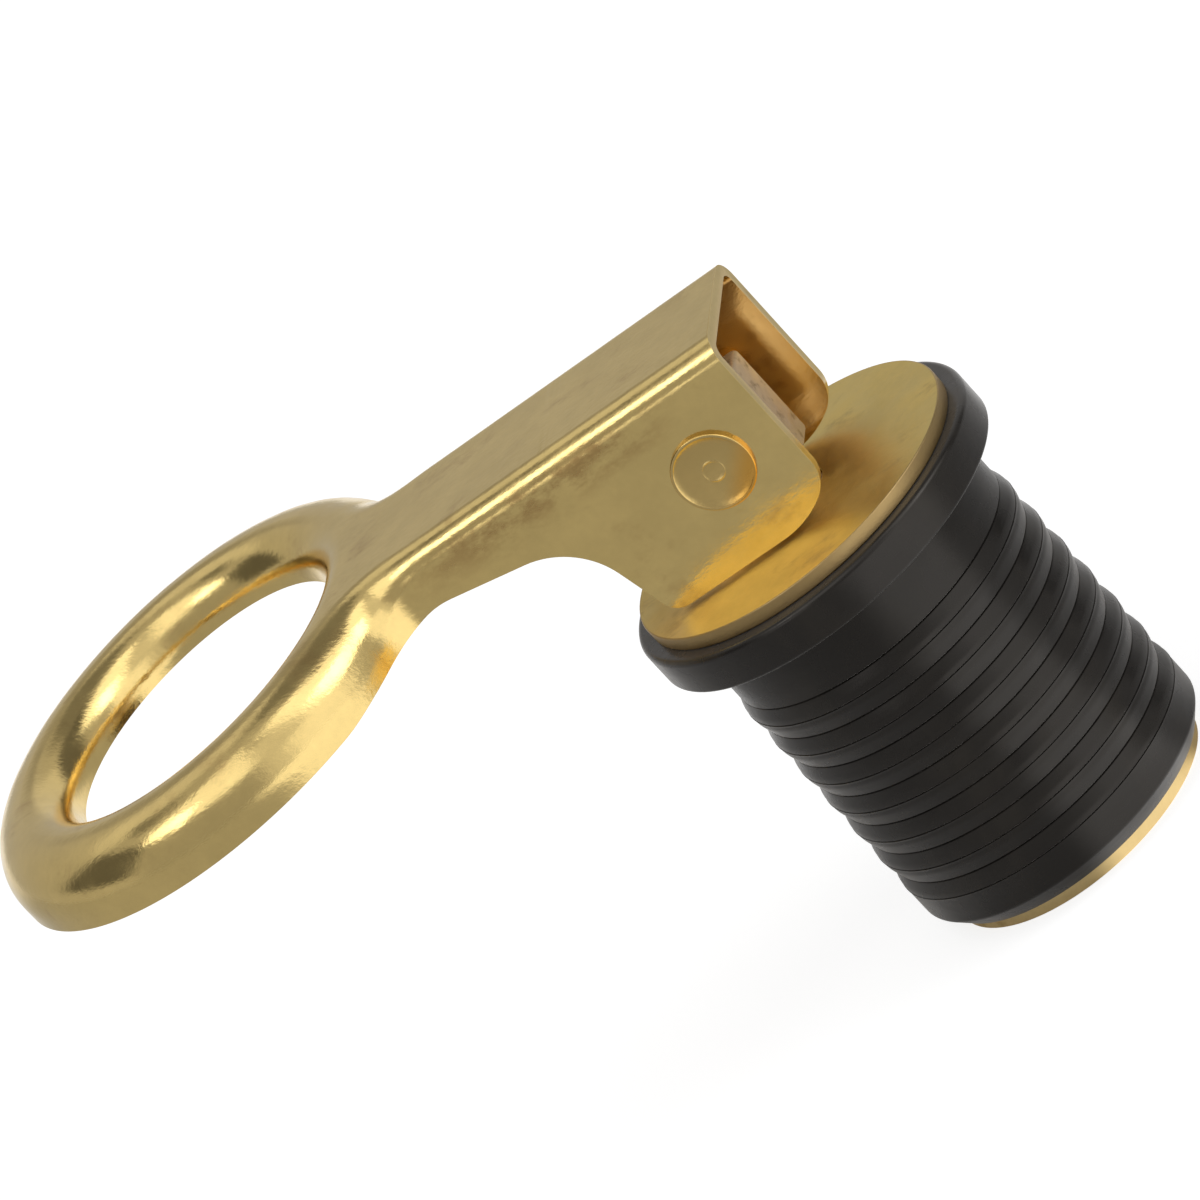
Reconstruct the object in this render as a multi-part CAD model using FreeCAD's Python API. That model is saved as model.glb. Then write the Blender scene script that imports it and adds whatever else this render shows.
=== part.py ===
import FreeCAD, Part
import math
import os

# Expanding drain plug for a boat, of the kind that is locked by a snap lever.
# Millimetres. +Z points out of the hull along the plug, X runs along the lever,
# and the finger ring lies towards -X. The origin is on the plug's axis, at the
# underside of the rubber flange, which is the face that seats on the hull.

# Rubber body: a flange, a plain neck, then ribs that grow a little towards the end
neck_r = 12.2
neck_length = 4.75
flange_r = 15.1
flange_t = 3.15
flange_top_round = 0.5
flange_under_round = 0.3
flange_root_round = 0.5
first_rib_r = 12.55
last_rib_r = 12.8
rib_count = 7
rib_pitch = 3.03
valley_depth = 0.35
crest_start = 1.0
crest_end = 1.9
crest_round = 1.5
end_band = 3.9
end_band_round = 0.5
end_r = 11.65
end_taper = 1.4
end_round = 0.1
bore_clearance = 0.5

# Top washer
washer_r = 13.83
washer_t = 1.2
washer_round = 0.3
bearing_clearance = 0.08

# Bottom plate: a disc with a threaded hub that stands up inside the rubber
plate_r = 11.15
plate_t = 1.1
plate_round = 0.12
hub_r = 5.0
hub_height = 5.0
hub_clearance = 0.3
thread_clearance = 0.05

# Stem: a flat-sided head between the ears, over a round threaded rod
rod_r = 3.1
rod_end_recess = 0.3
rod_end_round = 0.4
head_half_along = 3.7
head_half_across = 3.15
head_above_pin = 2.95
head_below_pin = 5.35
head_round = 0.45

# Hinge rivet, with a shallow dish and a small raised ring on each head
rivet_r = 1.6
rivet_clearance = 0.05
rivet_head_r = 3.09
rivet_head_t = 0.42
rivet_edge_round = 0.15
rivet_rim = 0.4
rivet_dish = 0.16
rivet_ring_r = 0.75
rivet_ring_rise = 0.07

# Lever: one stamped sheet, folded into a channel and drawn into a dished finger ring
sheet = 0.95
lever_half_width = 6.77
lever_bend_r = 1.85
web_above_pin = 8.0
ear_front = 5.9
ear_below_pin = 7.45
cam_bulge = 0.2
cam_end_round = 3.0
ear_foot = 9.5
ear_foot_round = 1.5
shoulder_reach = 11.65
shoulder_depth = 6.5
shoulder_round = 6.2
side_reach = 22.8
side_depth = 4.45
side_round = 8.0
neck_round = 4.0
cam_clearance = 0.1

# Finger ring: a little longer across than along, its edge turned down inside and out
ring_reach = 44.55
ring_along = 19.8
ring_across = 20.85
ring_dome_r = 4.3
ring_skirt = 5.5
ring_skirt_reach = 30.5
crest_flat_along = 0.13
crest_flat_across = 0.15
hole_round = 2.45
hole_lip = 4.0

# Sizes that follow from those above
hole_along = ring_along - ring_dome_r - crest_flat_along - hole_round
hole_across = ring_across - ring_dome_r - crest_flat_across - hole_round
washer_bottom = flange_t
washer_top = washer_bottom + washer_t
last_valley = -neck_length - rib_pitch * (rib_count - 1)
rubber_bottom = last_valley - end_band - end_taper
plate_bottom = rubber_bottom - plate_t
hub_top = rubber_bottom + hub_height

# The front corner of each ear is the cam, an arc about the rivet that swings past the washer
cam_r = ear_below_pin + cam_bulge
pin_z = washer_top + cam_r + cam_clearance
web_z = pin_z + web_above_pin
ear_bottom = pin_z - ear_below_pin

# How far a cutting shape runs past the solid that it cuts
over = 5.0

UP = FreeCAD.Vector(0, 0, 1)
ACROSS = FreeCAD.Vector(0, 1, 0)
AXIS_POINT = FreeCAD.Vector(0, 0, 0)


def rounded_face(corners):
    """Face in the XZ plane from corners (x, z, radius), each corner rounded by its radius."""
    points = [FreeCAD.Vector(x, 0, z) for x, z, radius in corners]
    arcs = []
    for i, (x, z, radius) in enumerate(corners):
        back = (points[i - 1] - points[i]).normalize()
        ahead = (points[(i + 1) % len(points)] - points[i]).normalize()
        half = back.getAngle(ahead) / 2
        inset = radius / math.tan(half)
        depth = radius / math.sin(half) - radius
        inward = (back + ahead).normalize()
        arcs.append((points[i] + back * inset, points[i] + inward * depth, points[i] + ahead * inset))
    edges = []
    for i, (start, middle, end) in enumerate(arcs):
        if corners[i][2] > 0:
            edges.append(Part.Arc(start, middle, end).toShape())
        following = arcs[(i + 1) % len(arcs)][0]
        if end.distanceToPoint(following) > 1e-6:
            edges.append(Part.LineSegment(end, following).toShape())
    return Part.Face(Part.Wire(edges))


def turned(corners):
    """Solid of revolution about the plug's axis from corners (radius, z, rounding)."""
    return rounded_face(corners).revolve(AXIS_POINT, UP, 360)


def make_rubber_body():
    bore_r = rod_r + bore_clearance
    socket_r = hub_r + hub_clearance
    socket_top = hub_top + hub_clearance
    corners = [
        (bore_r, washer_bottom, 0),
        (flange_r, washer_bottom, flange_top_round),
        (flange_r, 0, flange_under_round),
        (neck_r, 0, flange_root_round),
    ]
    for i in range(rib_count):
        valley_z = -neck_length - i * rib_pitch
        rib_r = first_rib_r + (last_rib_r - first_rib_r) * i / (rib_count - 1)
        corners.append((rib_r - valley_depth, valley_z, 0))
        corners.append((rib_r, valley_z - crest_start, crest_round))
        if i < rib_count - 1:
            corners.append((rib_r, valley_z - crest_end, crest_round))
    corners.append((last_rib_r, last_valley - end_band, end_band_round))
    corners.append((end_r, rubber_bottom, end_round))
    corners.append((socket_r, rubber_bottom, 0))
    corners.append((socket_r, socket_top, 0))
    corners.append((bore_r, socket_top, 0))
    return turned(corners)


def make_top_washer():
    hole_r = rod_r + bearing_clearance
    return turned([
        (hole_r, washer_bottom, 0),
        (washer_r, washer_bottom, washer_round),
        (washer_r, washer_top, washer_round),
        (hole_r, washer_top, 0),
    ])


def make_bottom_plate():
    hole_r = rod_r + thread_clearance
    return turned([
        (hole_r, plate_bottom, 0),
        (plate_r, plate_bottom, plate_round),
        (plate_r, rubber_bottom, plate_round),
        (hub_r, rubber_bottom, 0),
        (hub_r, hub_top, plate_round),
        (hole_r, hub_top, 0),
    ])


def make_stem():
    head_bottom = pin_z - head_below_pin
    head = Part.makeBox(
        2 * head_half_along,
        2 * head_half_across,
        head_above_pin + head_below_pin,
        FreeCAD.Vector(-head_half_along, -head_half_across, head_bottom),
    )
    head = head.makeFillet(head_round, head.Edges)
    rod_bottom = plate_bottom + rod_end_recess
    rod = Part.makeCylinder(rod_r, head_bottom + 1 - rod_bottom, FreeCAD.Vector(0, 0, rod_bottom))
    rod = rod.makeChamfer(rod_end_round, [rod.Edges[2]])
    eye = Part.makeCylinder(
        rivet_r + rivet_clearance,
        2 * (head_half_across + over),
        FreeCAD.Vector(0, -head_half_across - over, pin_z),
        ACROSS,
    )
    return head.fuse(rod).removeSplitter().cut(eye)


def make_hinge_rivet():
    face = lever_half_width
    rim = face + rivet_head_t
    dish = rim - rivet_dish
    half = turned([
        (0, 0, 0),
        (rivet_r, 0, 0),
        (rivet_r, face, 0),
        (rivet_head_r, face, 0),
        (rivet_head_r, rim, rivet_edge_round),
        (rivet_head_r - rivet_rim, rim, rivet_edge_round),
        (rivet_head_r - 2 * rivet_rim, dish, rivet_edge_round),
        (rivet_ring_r + rivet_rim, dish, 0),
        (rivet_ring_r, dish + rivet_ring_rise, 0),
        (rivet_ring_r - rivet_rim, dish, 0),
        (0, dish, 0),
    ])
    other = half.mirror(AXIS_POINT, UP)
    rivet = half.fuse(other).removeSplitter()
    rivet.rotate(AXIS_POINT, FreeCAD.Vector(1, 0, 0), 90)
    rivet.translate(FreeCAD.Vector(0, 0, pin_z))
    return rivet


def ring_column(along, across, low, high):
    """Upright column with the ring's oval as its plan."""
    centre = FreeCAD.Vector(-ring_reach, 0, low)
    along_end = centre - FreeCAD.Vector(along, 0, 0)
    across_end = centre + ACROSS * across
    if across >= along:
        oval = Part.Ellipse(across_end, along_end, centre)
    else:
        oval = Part.Ellipse(along_end, across_end, centre)
    return Part.Face(Part.Wire(oval.toShape())).extrude(UP * (high - low))


def neck_corners(blank):
    """Upright edges where the handle's sides meet the ring."""
    found = []
    for edge in blank.Edges:
        box = edge.BoundBox
        if box.ZLength > 1 and -ring_reach + 1 < box.XMax < 0:
            found.append(edge)
    return found


def round_top(blank, top, half_width, front, bend_r, dome_r):
    """Round the top outline: the bend's radius on the handle, growing to the dome's on the ring."""
    radii = []
    for number, edge in enumerate(blank.Edges, 1):
        box = edge.BoundBox
        if box.ZMin < top - 1e-3 or box.XMin > front - 1e-3:
            continue
        ends = []
        for vertex in edge.Vertexes:
            on_handle = abs(abs(vertex.Y) - half_width) < 1e-3
            ends.append(bend_r if on_handle else dome_r)
        radii.append((number, ends[0], ends[-1]))
    document = FreeCAD.newDocument()
    base = document.addObject("Part::Feature", "base")
    base.Shape = blank
    rounded = document.addObject("Part::Fillet", "rounded")
    rounded.Base = base
    rounded.Edges = radii
    document.recompute()
    form = rounded.Shape.copy()
    FreeCAD.closeDocument(document.Name)
    return form


def lever_form(inset, low, front):
    """Lever as a filled block, with every formed face moved in by inset."""
    top = web_z - inset
    half_width = lever_half_width - inset
    ring = ring_column(ring_along - inset, ring_across - inset, low, top)
    corner = FreeCAD.Vector(-ring_reach, -half_width, low)
    handle = Part.makeBox(ring_reach + front, 2 * half_width, top - low, corner)
    blank = ring.fuse(handle).removeSplitter()
    blank = blank.makeFillet(neck_round + inset, neck_corners(blank))
    form = round_top(blank, top, half_width, front, lever_bend_r - inset, ring_dome_r - inset)
    hole = ring_column(hole_along + inset, hole_across + inset, low - over, top + over)
    form = form.cut(hole)
    return form.makeFillet(hole_round - inset, hole_top_edges(form, top))


def hole_top_edges(form, top):
    """Edges of the ring's hole that lie in the top face."""
    found = []
    for edge in form.Edges:
        box = edge.BoundBox
        inside = box.XMin > -ring_reach - hole_along - sheet - 0.1 and box.XMax < -ring_reach + hole_along + sheet + 0.1
        if box.ZMin > top - 1e-3 and inside and box.YLength > hole_across:
            found.append(edge)
    return found


def lever_side_view():
    """Side view of the lever, from the cam and the ears' flat feet to the ring's skirt."""
    left = -ring_reach - ring_along - over
    cam_top = math.acos(ear_front / cam_r)
    cam_foot = math.asin(ear_below_pin / cam_r)
    cam_middle = (cam_top + cam_foot) / 2
    corner_reach = cam_r / math.cos((cam_foot - cam_top) / 2)
    return [
        (ear_front, web_z + over, 0),
        (ear_front, pin_z - cam_r * math.sin(cam_top), 0),
        (corner_reach * math.cos(cam_middle), pin_z - corner_reach * math.sin(cam_middle), cam_r),
        (cam_r * math.cos(cam_foot), ear_bottom, 0),
        (-ear_foot, ear_bottom, ear_foot_round),
        (-shoulder_reach, web_z - shoulder_depth, shoulder_round),
        (-side_reach, web_z - side_depth, side_round),
        (-ring_skirt_reach, web_z - ring_skirt, side_round),
        (left, web_z - ring_skirt, 0),
        (left, web_z + over, 0),
    ]


def lever_side_block():
    """Block with the lever's side view, and both ends of the cam's arc rounded."""
    side = rounded_face(lever_side_view())
    side.translate(ACROSS * (-ring_across - over))
    block = side.extrude(ACROSS * 2 * (ring_across + over))
    cam_ends = []
    for edge in block.Edges:
        start = edge.Vertexes[0].Point
        on_cam = abs(math.hypot(start.x, start.z - pin_z) - cam_r) < 1e-3
        if on_cam and edge.BoundBox.YLength > ring_across:
            cam_ends.append(edge)
    return block.makeFillet(cam_end_round, cam_ends)


def make_lever():
    outer = lever_form(0, ear_bottom - over, ear_front + over)
    inner = lever_form(sheet, ear_bottom - 2 * over, ear_front + 2 * over)
    lever = outer.cut(inner).common(lever_side_block())
    below_lip = ring_column(
        hole_along + 2 * sheet,
        hole_across + 2 * sheet,
        ear_bottom - over,
        web_z - hole_lip,
    )
    lever = lever.cut(below_lip)
    pin_hole = Part.makeCylinder(
        rivet_r + rivet_clearance,
        2 * (lever_half_width + over),
        FreeCAD.Vector(0, -lever_half_width - over, pin_z),
        ACROSS,
    )
    return lever.cut(pin_hole)


def main():
    os.makedirs("parts", exist_ok=True)
    parts = {
        "rubber_body": make_rubber_body(),
        "top_washer": make_top_washer(),
        "bottom_plate": make_bottom_plate(),
        "draw_stem": make_stem(),
        "hinge_rivet": make_hinge_rivet(),
        "lever_handle": make_lever(),
    }
    for name, shape in parts.items():
        shape.exportStep("parts/" + name + ".step")


main()
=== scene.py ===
import math

import bmesh
import bpy
from mathutils import Matrix, Vector


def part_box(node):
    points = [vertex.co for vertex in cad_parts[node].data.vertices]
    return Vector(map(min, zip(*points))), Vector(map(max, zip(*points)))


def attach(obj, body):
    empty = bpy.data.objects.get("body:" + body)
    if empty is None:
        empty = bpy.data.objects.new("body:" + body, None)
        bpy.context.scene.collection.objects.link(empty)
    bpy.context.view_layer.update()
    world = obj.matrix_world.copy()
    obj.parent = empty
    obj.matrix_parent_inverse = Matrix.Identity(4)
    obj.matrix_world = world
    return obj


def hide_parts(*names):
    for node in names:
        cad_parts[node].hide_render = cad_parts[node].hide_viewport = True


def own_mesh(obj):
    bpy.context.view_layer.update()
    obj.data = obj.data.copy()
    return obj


# Looks of a boat's drain plug with a snap lever. Sizes are in millimetres and are
# turned into metres as each mesh is made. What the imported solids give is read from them.
MM = 0.001
SAME_PLACE = 1e-7

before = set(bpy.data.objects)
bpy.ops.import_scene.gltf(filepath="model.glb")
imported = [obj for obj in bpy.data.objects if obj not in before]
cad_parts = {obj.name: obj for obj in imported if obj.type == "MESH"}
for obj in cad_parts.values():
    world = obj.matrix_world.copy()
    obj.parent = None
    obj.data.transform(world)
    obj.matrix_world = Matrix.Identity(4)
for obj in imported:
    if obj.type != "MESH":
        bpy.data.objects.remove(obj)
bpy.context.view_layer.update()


def span(node, axis):
    """Lowest and highest value of a CAD node along an axis, in millimetres."""
    low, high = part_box(node)
    return low[axis] / MM, high[axis] / MM


# Heights and sizes that the solids set
PIN_X = sum(span("hinge_rivet", 0)) / 2
PIN_Z = sum(span("hinge_rivet", 2)) / 2
RIVET_HEAD_R = (span("hinge_rivet", 2)[1] - span("hinge_rivet", 2)[0]) / 2
RIVET_HALF_LENGTH = span("hinge_rivet", 1)[1]
WEB_Z = span("lever_handle", 2)[1]
EAR_BOTTOM = span("lever_handle", 2)[0]
EAR_FRONT = span("lever_handle", 0)[1]
RING_TIP = span("lever_handle", 0)[0]
RING_ACROSS = span("lever_handle", 1)[1]
WASHER_BOTTOM, WASHER_TOP = span("top_washer", 2)
WASHER_R = span("top_washer", 0)[1]
FLANGE_R = span("rubber_body", 0)[1]
RUBBER_BOTTOM = span("rubber_body", 2)[0]
PLATE_BOTTOM = span("bottom_plate", 2)[0]
PLATE_R = span("bottom_plate", 0)[1]
STEM_HEAD_ALONG = span("draw_stem", 0)[1]
STEM_HEAD_ACROSS = span("draw_stem", 1)[1]
STEM_TOP = span("draw_stem", 2)[1]
STEM_BOTTOM = span("draw_stem", 2)[0]

# Lever
SHEET = 0.95
HALF_WIDTH = 6.77
BEND_R = 1.85
CAM_R = PIN_Z - EAR_BOTTOM + 0.2
CAM_END_ROUND = 3.0
EAR_FOOT = 9.5
FOOT_ROUND = 1.5
SHOULDER_REACH = 11.65
SHOULDER_DEPTH = 6.5
SHOULDER_ROUND = 6.2
SIDE_REACH = 22.8
SIDE_DEPTH = 4.45
SIDE_ROUND = 8.0
NECK_ROUND = 4.0
NECK_EASE = 1.2
NECK_PULL = 0.7
BEND_WIDENS_FROM = 21.5
BEND_WIDENS_OVER = 8.0
RING_REACH = 44.55
RING_ALONG = -RING_TIP - RING_REACH
RING_SKIRT = 5.5
SKIRT_REACH = 30.5
DOME_R = 4.3
HOLE_ALONG = 12.37
HOLE_ACROSS = 13.42
HOLE_ROUND = 3.1
HOLE_DROP = 3.3
HOLE_LIP = 3.8
BROKEN_EDGE = 0.1

# Roundings that several pieces share
EDGE_ROUND = 0.5
METAL_ROUND = 0.12
SMALL_ROUND = 0.1

# Rubber body
FLANGE_LOWER_ROUND = 0.3
NECK_R = 12.2
NECK_LENGTH = 4.75
FIRST_RIB_R = 12.55
LAST_RIB_R = 12.8
RIB_COUNT = 7
RIB_PITCH = 3.03
VALLEY_DEPTH = 0.35
CREST_START = 1.0
CREST_END = 1.9
CREST_ROUND = 1.5
CREASE = 0.14
SEAM_DEPTH = 0.08
SEAM_WIDTH = 0.1
END_BAND = 3.9
END_R = 11.65
BORE_GAP = 0.5
SOCKET_GAP = 0.3
SOCKET_DEPTH = 6.4

# Washer and bottom plate, which is drawn up the stem by its travel
WASHER_LOWER_ROUND = 0.15
WASHER_GAP = 0.08
HUB_R = 5.0
HUB_HEIGHT = 5.0
HUB_ROUND = 0.25

# Stem: a flat-sided head on a threaded rod
HEAD_HEIGHT = 8.3
HEAD_ROUND = 0.45
ROD_R = 3.1
ROD_PITCH = 1.27
ROD_TIP = 0.4
THREAD_DEPTH = 0.6
THREAD_CREST = 0.15
THREAD_GAP = 0.05

# Rivet, with a shallow bowl in each head and a small ring in the bowl
RIVET_R = 1.6
RIVET_RIM = 0.22
BOWL_STEP = 0.04
BOWL_DEPTH = 0.3
BOWL_FLOOR = 0.31
BOWL_RING_R = 0.8
BOWL_RING_HALF = 0.15
BOWL_RING_HEIGHT = 0.06

# Camera, as it stood for the photograph, and its roll about the line of sight
CAMERA_AT = (197.35, -498.71, 208.92)
VIEW_AZIMUTH = 23.17
VIEW_ELEVATION = 20.5
VIEW_ROLL = 43.06
LENS = 240


# Outlines

def rounded(corners, closed=True, step_deg=7.0):
    """Points of a flat outline from corners (a, b, radius), each corner rounded by its radius."""
    count = len(corners)
    points = []
    for i, (a, b, radius) in enumerate(corners):
        here = Vector((a, b))
        at_end = not closed and i in (0, count - 1)
        if at_end or radius <= 0:
            points.append(here)
            continue
        back = (Vector(corners[i - 1][:2]) - here).normalized()
        ahead = (Vector(corners[(i + 1) % count][:2]) - here).normalized()
        half = back.angle(ahead) / 2
        centre = here + (back + ahead).normalized() * (radius / math.sin(half))
        first = here + back * (radius / math.tan(half)) - centre
        last = here + ahead * (radius / math.tan(half)) - centre
        turn = first.angle_signed(last)
        steps = max(2, math.ceil(abs(math.degrees(turn)) / step_deg))
        for k in range(steps + 1):
            points.append(centre + Matrix.Rotation(-turn * k / steps, 2) @ first)
    return points


def spaced(start, end, step):
    """Even values from start to end, about step apart, both ends included."""
    count = max(1, round(abs(end - start) / step))
    return [start + (end - start) * k / count for k in range(count + 1)]


# Meshes

def piece(name, mesh, material, body, slot, *nodes):
    """Object that rides on a body, takes its finish from the material and stands for CAD nodes. The slot is
    not used.
    """
    thing = bpy.data.objects.new(name, mesh)
    bpy.context.scene.collection.objects.link(thing)
    mesh.materials.append(material)
    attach(thing, body)
    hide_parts(*nodes)
    return thing


def finish_mesh(bm, name, sharp_deg=35):
    """Mesh with its vertices joined and its faces outward, smooth but for edges over an angle."""
    bmesh.ops.remove_doubles(bm, verts=bm.verts, dist=SAME_PLACE)
    bmesh.ops.recalc_face_normals(bm, faces=bm.faces)
    mesh = bpy.data.meshes.new(name)
    bm.to_mesh(mesh)
    bm.free()
    mesh.shade_smooth()
    mesh.set_sharp_from_angle(angle=math.radians(sharp_deg))
    return mesh


def turned_mesh(name, profile, segments):
    """Mesh of revolution about Z from a closed profile of points (radius, z)."""
    bm = bmesh.new()
    rings = []
    for r, z in profile:
        ring = []
        for k in range(segments):
            angle = 2 * math.pi * k / segments
            ring.append(bm.verts.new((r * math.cos(angle) * MM, r * math.sin(angle) * MM, z * MM)))
        rings.append(ring)
    for i, ring in enumerate(rings):
        following = rings[(i + 1) % len(rings)]
        for k in range(segments):
            j = (k + 1) % segments
            bm.faces.new((ring[k], ring[j], following[j], following[k]))
    bmesh.ops.dissolve_degenerate(bm, dist=SAME_PLACE, edges=bm.edges)
    return finish_mesh(bm, name)


def lever_lower_edge():
    """Points (x, z) of the sheet's lower edge, from the cam at the ears' front to the ring's tip.

    The cam's arc runs about the pin. Its two corners are where the tangent at its middle meets the
    ears' front and their foot.
    """
    ear_depth = PIN_Z - EAR_BOTTOM
    middle = (math.acos(EAR_FRONT / CAM_R) + math.asin(ear_depth / CAM_R)) / 2
    front_depth = (CAM_R - EAR_FRONT * math.cos(middle)) / math.sin(middle)
    cam_foot = (CAM_R - ear_depth * math.sin(middle)) / math.cos(middle)
    corners = [
        (EAR_FRONT, WEB_Z, 0),
        (EAR_FRONT, PIN_Z - front_depth, CAM_END_ROUND),
        (cam_foot, EAR_BOTTOM, CAM_R),
        (-EAR_FOOT, EAR_BOTTOM, FOOT_ROUND),
        (-SHOULDER_REACH, WEB_Z - SHOULDER_DEPTH, SHOULDER_ROUND),
        (-SIDE_REACH, WEB_Z - SIDE_DEPTH, SIDE_ROUND),
        (-SKIRT_REACH, WEB_Z - RING_SKIRT, SIDE_ROUND),
        (RING_TIP - 1, WEB_Z - RING_SKIRT, 0),
    ]
    points = rounded(corners, closed=False, step_deg=4)[1:]
    return [(p.x, p.y) for p in points]


def height_at(x, line):
    """Height at x of a line of points (x, z) whose x falls."""
    for (x0, z0), (x1, z1) in zip(line, line[1:]):
        if x1 <= x <= x0 and x0 - x1 > 1e-9:
            return z0 + (z1 - z0) * (x0 - x) / (x0 - x1)
    return line[0][1] if x >= line[0][0] else line[-1][1]


def neck_tangent():
    """Angle on the ring's oval where the neck's arc meets it, and that arc's centre."""
    low, high = 0.0, math.pi / 2
    for _ in range(60):
        angle = (low + high) / 2
        point, normal = oval_point(RING_ALONG, RING_ACROSS, angle)
        if (point + normal * NECK_ROUND).y < HALF_WIDTH + NECK_ROUND:
            low = angle
        else:
            high = angle
    return angle, point + normal * NECK_ROUND


def oval_point(along, across, angle):
    """Point of an oval about the ring's centre and its outward normal."""
    point = Vector((-RING_REACH + along * math.cos(angle), across * math.sin(angle)))
    normal = Vector((math.cos(angle) / along, math.sin(angle) / across)).normalized()
    return point, normal


def neck_curve(start, angle):
    """Points that carry the handle's side over into the ring's oval at an angle on it."""
    end, normal = oval_point(RING_ALONG, RING_ACROSS, angle)
    backward = Vector((normal.y, -normal.x))
    reach = (HALF_WIDTH - end.y) / backward.y
    corner = end + backward * reach
    first = start.lerp(corner, NECK_PULL)
    last = end.lerp(corner, NECK_PULL)
    points = []
    for part in spaced(0, 1, 1 / 30)[1:-1]:
        rest = 1 - part
        early = start * rest**3 + first * 3 * rest**2 * part
        late = last * 3 * rest * part**2 + end * part**3
        points.append(early + late)
    return points


def lever_plan(line):
    """Half of the lever's plan outline, from an ear's front to just past the ring's tip."""
    angle, centre = neck_tangent()
    start = Vector((centre.x + NECK_EASE, HALF_WIDTH))
    angle += NECK_EASE / RING_ALONG
    # A column at every point of the lower edge, and more where the edge is straight
    xs = [p[0] for p in line if p[0] > start.x]
    xs += spaced(-SHOULDER_REACH - 3, start.x, 0.4)
    xs += spaced(-EAR_FOOT - 1, 1, 0.5)
    plan = [Vector((x, HALF_WIDTH)) for x in sorted(set(round(x, 4) for x in xs), reverse=True)]
    plan += neck_curve(start, angle)
    step = math.radians(1.1)
    for turn in spaced(angle, math.pi, step) + [math.pi + step]:
        plan.append(oval_point(RING_ALONG, RING_ACROSS, turn)[0])
    return plan


def lever_outline(line):
    """Columns of the rim, from one ear's front round the ring to the other's.

    A column is its point, inward normal, rounding inward, rounding downward and lower edge.
    """
    plan = lever_plan(line)
    half = []
    for i, point in enumerate(plan[:-1]):
        travel = (plan[i + 1] - plan[max(i - 1, 0)]).normalized()
        inward = Vector((-travel.y, travel.x))
        share = min(1, max(0, (-point.x - BEND_WIDENS_FROM) / BEND_WIDENS_OVER))
        radius = BEND_R + (DOME_R - BEND_R) * share * share * (3 - 2 * share)
        half.append((point, inward, radius))
    columns = []
    for sign, side in ((1, half), (-1, half[-2::-1])):
        for point, inward, radius in side:
            columns.append((
                Vector((point.x, sign * point.y)),
                Vector((inward.x, sign * inward.y)),
                radius,
                radius,
                height_at(point.x, line),
            ))
    return columns


def sheet_column(bm, point, inward, radius, drop, low):
    """Outer and inner vertices of the formed sheet's section, from its lower edge to the top.

    The top is rounded over the radius inward and over the drop downward.
    """
    outer = []
    inner = []
    bend = WEB_Z - drop
    for z in spaced(low, bend, abs(bend - low) / 5):
        outer.append((0, z))
        inner.append((SHEET, z))
    for turn in spaced(0, math.pi / 2, math.radians(7.5))[1:]:
        outer.append((radius * (1 - math.cos(turn)), bend + drop * math.sin(turn)))
        inner.append((
            radius - (radius - SHEET) * math.cos(turn),
            bend + (drop - SHEET) * math.sin(turn),
        ))
    made = []
    for section in (outer, inner):
        side = []
        for inset, z in section:
            spot = point + inward * inset
            side.append(bm.verts.new((spot.x * MM, spot.y * MM, z * MM)))
        made.append(side)
    return made


def join_columns(bm, first, second):
    """Faces of both sides of the sheet, and of its lower edge, between two columns."""
    for side in (0, 1):
        a, b = first[side], second[side]
        for i in range(len(a) - 1):
            bm.faces.new((a[i], b[i], b[i + 1], a[i + 1]))
    bm.faces.new((first[0][0], second[0][0], second[1][0], first[1][0]))


def fill_between(bm, loops):
    """Flat faces between closed loops of vertices."""
    edges = []
    for loop in loops:
        for i, vertex in enumerate(loop):
            following = loop[(i + 1) % len(loop)]
            edges.append(bm.edges.get((vertex, following)) or bm.edges.new((vertex, following)))
    bmesh.ops.triangle_fill(bm, edges=edges, use_beauty=True)


def lever_mesh():
    """The formed sheet: its rim and its hole are columns, and the web fills the top between them."""
    bm = bmesh.new()
    rim = [sheet_column(bm, *column) for column in lever_outline(lever_lower_edge())]
    for first, second in zip(rim, rim[1:]):
        join_columns(bm, first, second)
    for end in (rim[0], rim[-1]):
        for i in range(len(end[0]) - 1):
            bm.faces.new((end[0][i], end[0][i + 1], end[1][i + 1], end[1][i]))
    bm.faces.new((rim[0][0][-1], rim[-1][0][-1], rim[-1][1][-1], rim[0][1][-1]))
    hole = []
    for turn in spaced(0, 2 * math.pi, math.radians(1.25))[:-1]:
        point, normal = oval_point(HOLE_ALONG, HOLE_ACROSS, turn)
        hole.append(sheet_column(bm, point, normal, HOLE_ROUND, HOLE_DROP, WEB_Z - HOLE_LIP))
    for i, column in enumerate(hole):
        join_columns(bm, column, hole[(i + 1) % len(hole)])
    for side in (0, 1):
        fill_between(bm, [[c[side][-1] for c in rim], [c[side][-1] for c in hole]])
    return finish_mesh(bm, "lever", 50)


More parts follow.
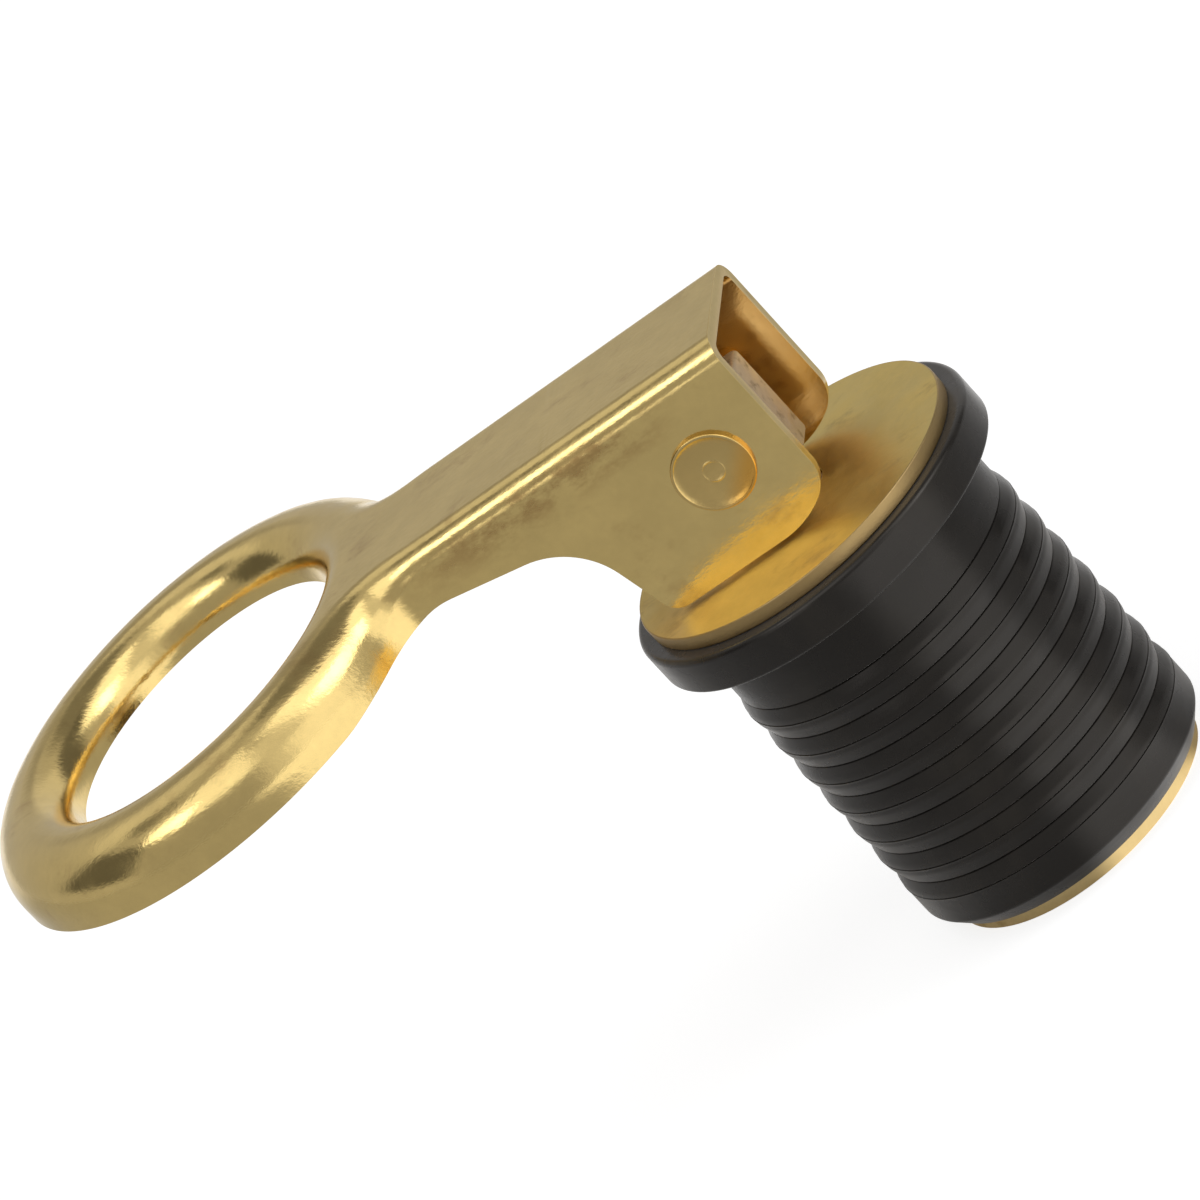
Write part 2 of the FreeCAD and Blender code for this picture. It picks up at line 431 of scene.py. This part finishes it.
def rubber_profile():
    """Flange, neck, ribs with a crease between them and a fine seam on each, and the tapered end."""
    bore = ROD_R + BORE_GAP
    socket_r = HUB_R + SOCKET_GAP
    socket_top = RUBBER_BOTTOM + SOCKET_DEPTH
    corners = [
        (bore, WASHER_BOTTOM, 0),
        (FLANGE_R, WASHER_BOTTOM, EDGE_ROUND),
        (FLANGE_R, 0, FLANGE_LOWER_ROUND),
        (NECK_R, 0, EDGE_ROUND),
    ]
    for i in range(RIB_COUNT):
        valley = -NECK_LENGTH - i * RIB_PITCH
        rib_r = FIRST_RIB_R + (LAST_RIB_R - FIRST_RIB_R) * i / (RIB_COUNT - 1)
        seam = valley - (CREST_START + CREST_END) / 2
        corners.append((rib_r - VALLEY_DEPTH, valley + CREASE / 2, 0))
        corners.append((rib_r - VALLEY_DEPTH - CREASE, valley, 0))
        corners.append((rib_r - VALLEY_DEPTH, valley - CREASE / 2, 0))
        corners.append((rib_r, valley - CREST_START, CREST_ROUND))
        corners.append((rib_r, seam + SEAM_WIDTH, 0))
        corners.append((rib_r - SEAM_DEPTH, seam + SEAM_WIDTH / 2, 0))
        corners.append((rib_r + SEAM_DEPTH / 2, seam, 0))
        corners.append((rib_r, seam - SEAM_WIDTH, 0))
        if i < RIB_COUNT - 1:
            corners.append((rib_r, valley - CREST_END, CREST_ROUND))
    corners.append((LAST_RIB_R, valley - END_BAND, EDGE_ROUND))
    corners.append((END_R, RUBBER_BOTTOM, SMALL_ROUND))
    corners.append((socket_r, RUBBER_BOTTOM, 0))
    corners.append((socket_r, socket_top, 0))
    corners.append((bore, socket_top, 0))
    return [(p.x, p.y) for p in rounded(corners)]


def washer_profile():
    """Flat washer with a hole that clears the rod."""
    hole = ROD_R + WASHER_GAP
    corners = [
        (hole, WASHER_BOTTOM, 0),
        (WASHER_R, WASHER_BOTTOM, WASHER_LOWER_ROUND),
        (WASHER_R, WASHER_TOP, METAL_ROUND),
        (hole, WASHER_TOP, SMALL_ROUND),
    ]
    return [(p.x, p.y) for p in rounded(corners)]


def plate_profile():
    """Disc with the threaded hub that stands up inside the rubber."""
    hole = ROD_R + THREAD_GAP
    hub_top = RUBBER_BOTTOM + HUB_HEIGHT
    corners = [
        (hole, PLATE_BOTTOM, SMALL_ROUND),
        (PLATE_R, PLATE_BOTTOM, METAL_ROUND),
        (PLATE_R, RUBBER_BOTTOM, METAL_ROUND),
        (HUB_R, RUBBER_BOTTOM, 0),
        (HUB_R, hub_top, HUB_ROUND),
        (hole, hub_top, 0),
    ]
    return [(p.x, p.y) for p in rounded(corners)]


def rivet_profile():
    """Rivet with a flat head on each side, each with a thin rim round a shallow bowl and a small ring."""
    rim = RIVET_HALF_LENGTH
    bowl_r = RIVET_HEAD_R - RIVET_RIM
    floor = rim - BOWL_FLOOR
    half = [
        (RIVET_R, HALF_WIDTH, 0),
        (RIVET_HEAD_R, HALF_WIDTH, 0),
        (RIVET_HEAD_R, rim, METAL_ROUND),
        (bowl_r, rim, METAL_ROUND / 2),
    ]
    for share in (0.97, 0.8, 0.6, 0.45):
        half.append((bowl_r * share, rim - BOWL_STEP - BOWL_DEPTH * (1 - share * share), 0))
    half += [
        (BOWL_RING_R + BOWL_RING_HALF, floor, 0),
        (BOWL_RING_R, floor + BOWL_RING_HEIGHT, SMALL_ROUND / 2),
        (BOWL_RING_R - BOWL_RING_HALF, floor, 0),
        (0, floor, 0),
    ]
    other = [(r, -z, rounding) for r, z, rounding in half[::-1]]
    return [(p.x, p.y) for p in rounded(half + other)]


def rod_profile(bottom, top):
    """Threaded rod: crests and roots of a plain screw thread, drawn as rings."""
    corners = [(0, top, 0), (ROD_R, top, 0)]
    z = top
    while z - ROD_PITCH > bottom + 0.5:
        corners.append((ROD_R, z - THREAD_CREST, 0))
        corners.append((ROD_R - THREAD_DEPTH, z - ROD_PITCH / 2, SMALL_ROUND))
        z -= ROD_PITCH
        corners.append((ROD_R, z, 0))
    corners.append((ROD_R, bottom + ROD_TIP, 0))
    corners.append((ROD_R - ROD_TIP, bottom, 0))
    corners.append((0, bottom, 0))
    return [(p.x, p.y) for p in rounded(corners)]


def stem_head_mesh():
    """Block with rounded edges that the rivet goes through."""
    bm = bmesh.new()
    bottom = STEM_TOP - HEAD_HEIGHT
    size = Matrix.Diagonal((2 * STEM_HEAD_ALONG * MM, 2 * STEM_HEAD_ACROSS * MM, HEAD_HEIGHT * MM, 1))
    place = Matrix.Translation((0, 0, (bottom + HEAD_HEIGHT / 2) * MM))
    bmesh.ops.create_cube(bm, size=1, matrix=place @ size)
    bmesh.ops.bevel(bm, geom=bm.edges[:], offset=HEAD_ROUND * MM, segments=5, profile=0.5, affect="EDGES")
    return finish_mesh(bm, "stem_head")


def soften_edges(thing, width):
    """Break the sheet's cut edges, as tumbling does, and keep the flats flat."""
    bevel = thing.modifiers.new("broken edges", "BEVEL")
    bevel.width = width * MM
    bevel.segments = 2
    bevel.limit_method = "ANGLE"
    bevel.angle_limit = math.radians(50)
    normals = thing.modifiers.new("flat faces first", "WEIGHTED_NORMAL")
    normals.keep_sharp = True


# Materials

def start_material(name):
    material = bpy.data.materials.new(name)
    material.use_nodes = True
    return material, Nodes(material.node_tree)


class Nodes:
    """Short way to add and link shader nodes."""

    def __init__(self, tree, shader="Principled BSDF", output="Material Output", place="Object"):
        self.tree = tree
        self.shader = tree.nodes[shader]
        self.output = tree.nodes[output]
        self.place = tree.nodes.new("ShaderNodeTexCoord").outputs[place]

    def add(self, kind, **values):
        node = self.tree.nodes.new(kind)
        for name, value in values.items():
            setattr(node, name, value)
        return node

    def link(self, source, target):
        self.tree.links.new(source, target)

    def stretched(self, x, y, z):
        node = self.add("ShaderNodeVectorMath", operation="MULTIPLY")
        node.inputs[1].default_value = (x, y, z)
        self.link(self.place, node.inputs[0])
        return node.outputs[0]

    def dotted(self, vector, direction):
        node = self.add("ShaderNodeVectorMath", operation="DOT_PRODUCT")
        node.inputs[1].default_value = direction
        self.link(vector, node.inputs[0])
        return node.outputs["Value"]

    def noise(self, vector, scale, detail=3.0, roughness=0.5, distortion=0.0):
        node = self.add("ShaderNodeTexNoise")
        node.inputs["Scale"].default_value = scale
        node.inputs["Detail"].default_value = detail
        node.inputs["Roughness"].default_value = roughness
        node.inputs["Distortion"].default_value = distortion
        self.link(vector, node.inputs["Vector"])
        return node.outputs["Fac"]

    def ranged(self, value, low, high, to_low, to_high):
        node = self.add("ShaderNodeMapRange", interpolation_type="SMOOTHSTEP")
        for socket, number in zip(("From Min", "From Max", "To Min", "To Max"), (low, high, to_low, to_high)):
            node.inputs[socket].default_value = number
        self.link(value, node.inputs["Value"])
        return node.outputs["Result"]

    def maths(self, operation, first, second):
        node = self.add("ShaderNodeMath", operation=operation)
        for socket, value in zip(node.inputs, (first, second)):
            if isinstance(value, (int, float)):
                socket.default_value = value
            else:
                self.link(value, socket)
        return node.outputs[0]

    def product(self, *values):
        result = values[0]
        for value in values[1:]:
            result = self.maths("MULTIPLY", result, value)
        return result

    def mixed(self, factor, first, second):
        node = self.add("ShaderNodeMix", data_type="RGBA")
        self.link(factor, node.inputs[0])
        for socket, value in ((node.inputs[6], first), (node.inputs[7], second)):
            if isinstance(value, tuple):
                socket.default_value = (*value, 1)
            else:
                self.link(value, socket)
        return node.outputs[2]

    def bump(self, height, strength, distance, before=None):
        node = self.add("ShaderNodeBump")
        node.inputs["Strength"].default_value = strength
        node.inputs["Distance"].default_value = distance * MM
        self.link(height, node.inputs["Height"])
        if before is not None:
            self.link(before, node.inputs["Normal"])
        return node.outputs["Normal"]


def along(n, direction, start, stop):
    """0 up to one distance along a direction and 1 from another on, in millimetres."""
    return n.ranged(n.dotted(n.place, direction), start * MM, stop * MM, 0, 1)


def painted_glow_between_ears(n):
    """Painted light: 1 on the sheet's inner faces between the ears, which take a brighter orange for light
    that bounces between them, 0 on its outer faces and on the ring.
    """
    across = n.maths("ABSOLUTE", n.dotted(n.place, (0, 1, 0)), 0)
    inside = n.ranged(across, (HALF_WIDTH - SHEET) * MM, (HALF_WIDTH - SHEET / 3) * MM, 1, 0)
    below_web = along(n, (0, 0, -1), SHEET / 3 - WEB_Z, SHEET - WEB_Z)
    before_ring = along(n, (1, 0, 0), -30, -22)
    return n.product(inside, below_web, before_ring)


def bend_streaks(n):
    """Brown speckled streaks along the handle's sides, just under the bend."""
    high_up = along(n, (0, 0, 1), WEB_Z - 5, WEB_Z - 2)
    below_bend = along(n, (0, 0, -1), 0.5 - WEB_Z, 1.2 - WEB_Z)
    before_ring = along(n, (1, 0, 0), -27, -15)
    behind_rivet = along(n, (-1, 0, 0), -2, 4)
    speckle = n.ranged(n.noise(n.stretched(0.5, 1, 1), 700, 5, 0.7), 0.38, 0.66, 0, 0.75)
    return n.product(high_up, below_bend, before_ring, behind_rivet, speckle)


def painted_rim_shade(n):
    """Painted shade: most of a darker brown on the washer's rim, none on its flat."""
    from_axis = n.add("ShaderNodeVectorMath", operation="LENGTH")
    n.link(n.stretched(1, 1, 0), from_axis.inputs[0])
    start = (WASHER_R - 0.15) * MM
    stop = (WASHER_R - 0.05) * MM
    return n.ranged(from_axis.outputs["Value"], start, stop, 0, 0.85)


def painted_lit_crescent(n):
    """Painted light: orange in the lower front part of the rivet's bowls, where a bowl is lit."""
    pin = (PIN_X - PIN_Z) * 0.7
    return n.product(along(n, (0.7, 0, -0.7), pin + 0.6, pin + 2.6), 0.9)


def brushed_relief(n):
    """Normal of fine brushing along X, frayed grain and soft dents."""
    brushing = n.noise(n.stretched(0.06, 1, 1), 9000, 2, 0.6)
    grain = n.noise(n.stretched(0.5, 1, 1), 3200, 3, 0.6)
    dents = n.noise(n.place, 160, 1)
    normal = n.bump(brushing, 0.12, 0.01)
    normal = n.bump(grain, 0.5, 0.03, normal)
    return n.bump(dents, 0.12, 0.1, normal)


def brass(name, base=(0.82, 0.61, 0.24), stain=(0.46, 0.27, 0.10), stain_share=0.45, rough=0.15,
          streaks=None, painted_shading=None, painted_shading_colour=(0.40, 0.27, 0.13)):
    """Satin brass with a mottled colour and brown stains, which are duller.

    Streaks are more stains. A painted shading patch stands in for light or shade in its own colour, each
    where its function says.
    """
    material, n = start_material(name)
    shader = n.shader
    mottle = n.ranged(n.noise(n.place, 90, 8, 0.78), 0.36, 0.64, 0, 1)
    pale = tuple(min(1, c * 1.12) for c in base)
    colour = n.mixed(mottle, base, pale)
    dull = n.ranged(n.noise(n.stretched(0.7, 1, 1), 230, 6, 0.66, 0.15), 0.54, 0.76, 0, stain_share)
    if streaks:
        dull = n.maths("MAXIMUM", dull, streaks(n))
    colour = n.mixed(dull, colour, stain)
    # Painted light and shade: where the patch's function says, its colour stands in for light or shade on the
    # brass.
    if painted_shading:
        colour = n.mixed(painted_shading(n), colour, painted_shading_colour)
    n.link(colour, shader.inputs["Base Color"])
    shader.inputs["Metallic"].default_value = 1
    rough_drift = n.ranged(n.noise(n.place, 400, 3), 0.3, 0.7, rough - 0.03, rough + 0.06)
    n.link(n.maths("ADD", rough_drift, n.product(dull, 0.2)), shader.inputs["Roughness"])
    n.link(brushed_relief(n), shader.inputs["Normal"])
    return material


def black_rubber():
    """Moulded rubber: dusty patches, a sheen, a faint grain and flat ripples."""
    material, n = start_material("black rubber")
    shader = n.shader
    dust = n.ranged(n.noise(n.stretched(1, 1, 0.6), 140, 4, 0.6, 0.4), 0.4, 0.75, 0, 1)
    n.link(n.mixed(dust, (0.008, 0.0066, 0.0056), (0.02, 0.0165, 0.0125)), shader.inputs["Base Color"])
    n.link(n.ranged(n.noise(n.place, 300, 3), 0.3, 0.7, 0.22, 0.34), shader.inputs["Roughness"])
    shader.inputs["Specular IOR Level"].default_value = 0.45
    shader.inputs["Specular Tint"].default_value = (1, 0.94, 0.87, 1)
    shader.inputs["Sheen Weight"].default_value = 0.5
    shader.inputs["Sheen Roughness"].default_value = 0.35
    shader.inputs["Sheen Tint"].default_value = (1, 0.95, 0.9, 1)
    grain = n.bump(n.noise(n.place, 5200, 2), 0.1, 0.02)
    ripples = n.bump(n.noise(n.stretched(1, 1, 3), 260, 2), 0.35, 0.1, grain)
    n.link(ripples, shader.inputs["Normal"])
    return material


def worn_stem():
    """Dull plated metal with brown worn patches."""
    material, n = start_material("worn stem")
    shader = n.shader
    worn = n.ranged(n.noise(n.place, 900, 4, 0.65), 0.5, 0.68, 0, 0.75)
    n.link(n.mixed(worn, (0.70, 0.56, 0.40), (0.38, 0.26, 0.14)), shader.inputs["Base Color"])
    shader.inputs["Metallic"].default_value = 0.8
    n.link(n.ranged(n.noise(n.place, 1500, 3), 0.3, 0.7, 0.38, 0.6), shader.inputs["Roughness"])
    n.link(n.bump(n.noise(n.place, 1800, 3), 0.3, 0.04), shader.inputs["Normal"])
    return material


def turn_about(n, place):
    """Angle round the plug's axis in the camera's azimuth: 0 behind the plug, positive to its right."""
    azimuth = math.radians(VIEW_AZIMUTH)
    away = n.dotted(place, (-math.sin(azimuth), math.cos(azimuth), 0))
    sideways = n.dotted(place, (math.cos(azimuth), math.sin(azimuth), 0))
    return n.maths("ARCTAN2", sideways, away)


def within(n, angle, middle, half, soft):
    """1 where an angle lies within half of the middle, 0 beyond it, with a soft step between. Degrees."""
    apart = n.maths("PINGPONG", n.maths("SUBTRACT", angle, math.radians(middle)), math.pi)
    return n.ranged(apart, math.radians(half - soft), math.radians(half + soft), 1, 0)


def seen_directly(n):
    """1 for what the camera sees, also through glass, and 0 for light and mirror images."""
    rays = n.add("ShaderNodeLightPath")
    return n.maths("MAXIMUM", rays.outputs["Is Camera Ray"], rays.outputs["Is Transmission Ray"])


def studio_floor():
    """Matt grey floor that is white to the camera and keeps the shadow.

    Its far part and a part in front of the plug shine in the metal.
    """
    material, n = start_material("studio floor")
    n.shader.inputs["Base Color"].default_value = (0.4, 0.4, 0.4, 1)
    n.shader.inputs["Roughness"].default_value = 0.9
    n.shader.inputs["Specular IOR Level"].default_value = 0.1
    mirrored = n.add("ShaderNodeLightPath").outputs["Is Glossy Ray"]
    turn = turn_about(n, n.place)
    far = n.product(within(n, turn, 0, 35, 14), 0.65)
    front = within(n, turn, 156, 30, 9)
    shine = n.product(n.maths("ADD", n.maths("MAXIMUM", far, front), 0.15), mirrored)
    glow = n.add("ShaderNodeEmission")
    glow.inputs["Color"].default_value = (1, 1, 1, 1)
    n.link(n.product(n.maths("MAXIMUM", seen_directly(n), shine), 0.8), glow.inputs["Strength"])
    both = n.add("ShaderNodeAddShader")
    n.link(n.shader.outputs[0], both.inputs[0])
    n.link(glow.outputs[0], both.inputs[1])
    n.link(both.outputs[0], n.output.inputs["Surface"])
    return material


# Pieces

def make_pieces():
    lever_brass = brass(
        "lever brass",
        streaks=bend_streaks,
        # Painted light: a brighter orange between the ears stands in for light bouncing inside the channel.
        painted_shading=painted_glow_between_ears,
        painted_shading_colour=(1.0, 0.74, 0.34),
    )
    washer_brass = brass(
        "washer brass",
        base=(0.82, 0.62, 0.21),
        stain=(0.40, 0.27, 0.13),
        stain_share=0.5,
        rough=0.42,
        # Painted shade: the washer's rim is darker brown, in the default shading colour.
        painted_shading=painted_rim_shade,
    )
    plate_brass = brass("plate brass", base=(0.80, 0.60, 0.28), stain_share=0.7, rough=0.45)
    rivet_brass = brass(
        "rivet brass",
        base=(0.70, 0.50, 0.19),
        stain_share=0.9,
        rough=0.2,
        # Painted light: an orange crescent where the rivet's bowls are lit.
        painted_shading=painted_lit_crescent,
        painted_shading_colour=(0.84, 0.44, 0.08),
    )
    rubber = black_rubber()
    steel = worn_stem()

    lever = piece("lever", lever_mesh(), lever_brass, "lever", "lever_brass", "lever_handle")
    soften_edges(lever, BROKEN_EDGE)

    body = turned_mesh("rubber", rubber_profile(), 256)
    shorten(piece("rubber", body, rubber, "plug", "black_rubber", "rubber_body"))

    washer = turned_mesh("washer", washer_profile(), 256)
    piece("washer", washer, washer_brass, "plug", "washer_brass", "top_washer")

    plate = turned_mesh("plate", plate_profile(), 200)
    piece("plate", plate, plate_brass, "nut", "plate_brass", "bottom_plate")

    piece("stem_head", stem_head_mesh(), steel, "stem", "stem_metal", "draw_stem")
    rod = turned_mesh("rod", rod_profile(STEM_BOTTOM, STEM_TOP - HEAD_HEIGHT + 1), 64)
    piece("stem_rod", rod, steel, "stem", "stem_metal")

    rivet = turned_mesh("rivet", rivet_profile(), 96)
    rivet.transform(Matrix.Translation((PIN_X * MM, 0, PIN_Z * MM)) @ Matrix.Rotation(math.pi / 2, 4, "X"))
    piece("rivet", rivet, rivet_brass, "lever", "rivet_brass", "hinge_rivet")

    dress_nodes({
        "lever_handle": lever_brass,
        "hinge_rivet": rivet_brass,
        "top_washer": washer_brass,
        "rubber_body": rubber,
        "draw_stem": steel,
        "bottom_plate": plate_brass,
    })


def dress_nodes(looks):
    """Each CAD node takes the material of the piece that stands for it."""
    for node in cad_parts.values():
        node.data.materials.clear()
        node.data.materials.append(looks[node.name])


def shorten(body):
    """Gives the rubber a mesh of its own."""
    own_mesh(body)


# Studio

def make_floor():
    side = 4.0
    bpy.ops.mesh.primitive_plane_add(size=side, location=(0, 0, PLATE_BOTTOM * MM))
    floor = bpy.context.object
    floor.name = "floor"
    floor.data.materials.append(studio_floor())


def soft_light(name, at, aim, width, height, watts, spread_deg=180):
    """Rectangular lamp, its place, aim and size in metres."""
    lamp = bpy.data.lights.new(name, "AREA")
    lamp.shape = "RECTANGLE"
    lamp.size = width
    lamp.size_y = height
    lamp.energy = watts
    lamp.spread = math.radians(spread_deg)
    thing = bpy.data.objects.new(name, lamp)
    bpy.context.scene.collection.objects.link(thing)
    thing.location = at
    thing.rotation_euler = (Vector(aim) - Vector(at)).to_track_quat("-Z", "Y").to_euler()


def make_lights():
    aim = (-0.01, 0, 0)
    soft_light("front left", (-0.33, -0.4, 0.63), aim, 0.28, 0.22, 0.29)
    soft_light("right", (0.6, -0.05, 0.5), aim, 0.24, 0.36, 0.46)
    near_ear = (-0.003, -0.01, 0.002)
    soft_light("card", (-0.026, -0.065, 0.024), near_ear, 0.03, 0.02, 0.000105, spread_deg=40)


def make_world():
    """Studio round the plug: soft panels, light and dark, about a mid grey, and plain white to the camera.

    A panel is its middle and half width round the plug, its lowest and highest elevation, and its grey.
    """
    world = bpy.data.worlds.new("studio")
    bpy.context.scene.world = world
    world.use_nodes = True
    n = Nodes(world.node_tree, "Background", "World Output", "Generated")
    turn = turn_about(n, n.place)
    rise = n.maths("ARCSINE", n.dotted(n.place, (0, 0, 1)), 0)
    panels = (
        (-28, 34, 45, 68, 0.66),
        (38, 24, -5, 30, 0.65),
        (0, 13, 25, 44, 0.32),
        (165, 38, -40, 70, 0.68),
        (-148, 36, -40, 40, 0.38),
        (-146, 38, 44, 88, 1.2),
        (114, 27, 30, 80, 1.4),
        (141, 19, -40, 32, 1.15),
        (72, 17, -10, 64, 0.12),
        (38, 32, 44, 74, 0.2),
        (-86, 22, 12, 47, 0.12),
        (-66, 18, 57, 70, 0.17),
    )
    level = (0.45, 0.45, 0.45)
    for middle, half, low, high, grey in panels:
        sideways = within(n, turn, middle, half, 5)
        upward = within(n, rise, (low + high) / 2, (high - low) / 2, 3)
        level = n.mixed(n.product(sideways, upward), level, (grey, grey, grey))
    n.link(n.mixed(seen_directly(n), level, (1, 1, 1)), n.shader.inputs["Color"])
    n.shader.inputs["Strength"].default_value = 1.0


def make_camera():
    azimuth = math.radians(VIEW_AZIMUTH)
    dip = math.radians(VIEW_ELEVATION)
    line = Vector((-math.sin(azimuth) * math.cos(dip), math.cos(azimuth) * math.cos(dip), -math.sin(dip)))
    camera = bpy.data.cameras.new("camera")
    camera.lens = LENS
    camera.sensor_width = 36
    camera.clip_start = 0.01
    thing = bpy.data.objects.new("camera", camera)
    bpy.context.scene.collection.objects.link(thing)
    facing = line.to_track_quat("-Z", "Y").to_matrix().to_4x4()
    roll = Matrix.Rotation(math.radians(-VIEW_ROLL), 4, "Z")
    thing.matrix_world = Matrix.Translation(Vector(CAMERA_AT) * MM) @ facing @ roll
    bpy.context.scene.camera = thing


make_pieces()
make_floor()
make_lights()
make_world()
make_camera()
bpy.context.scene.view_settings.view_transform = "Standard"
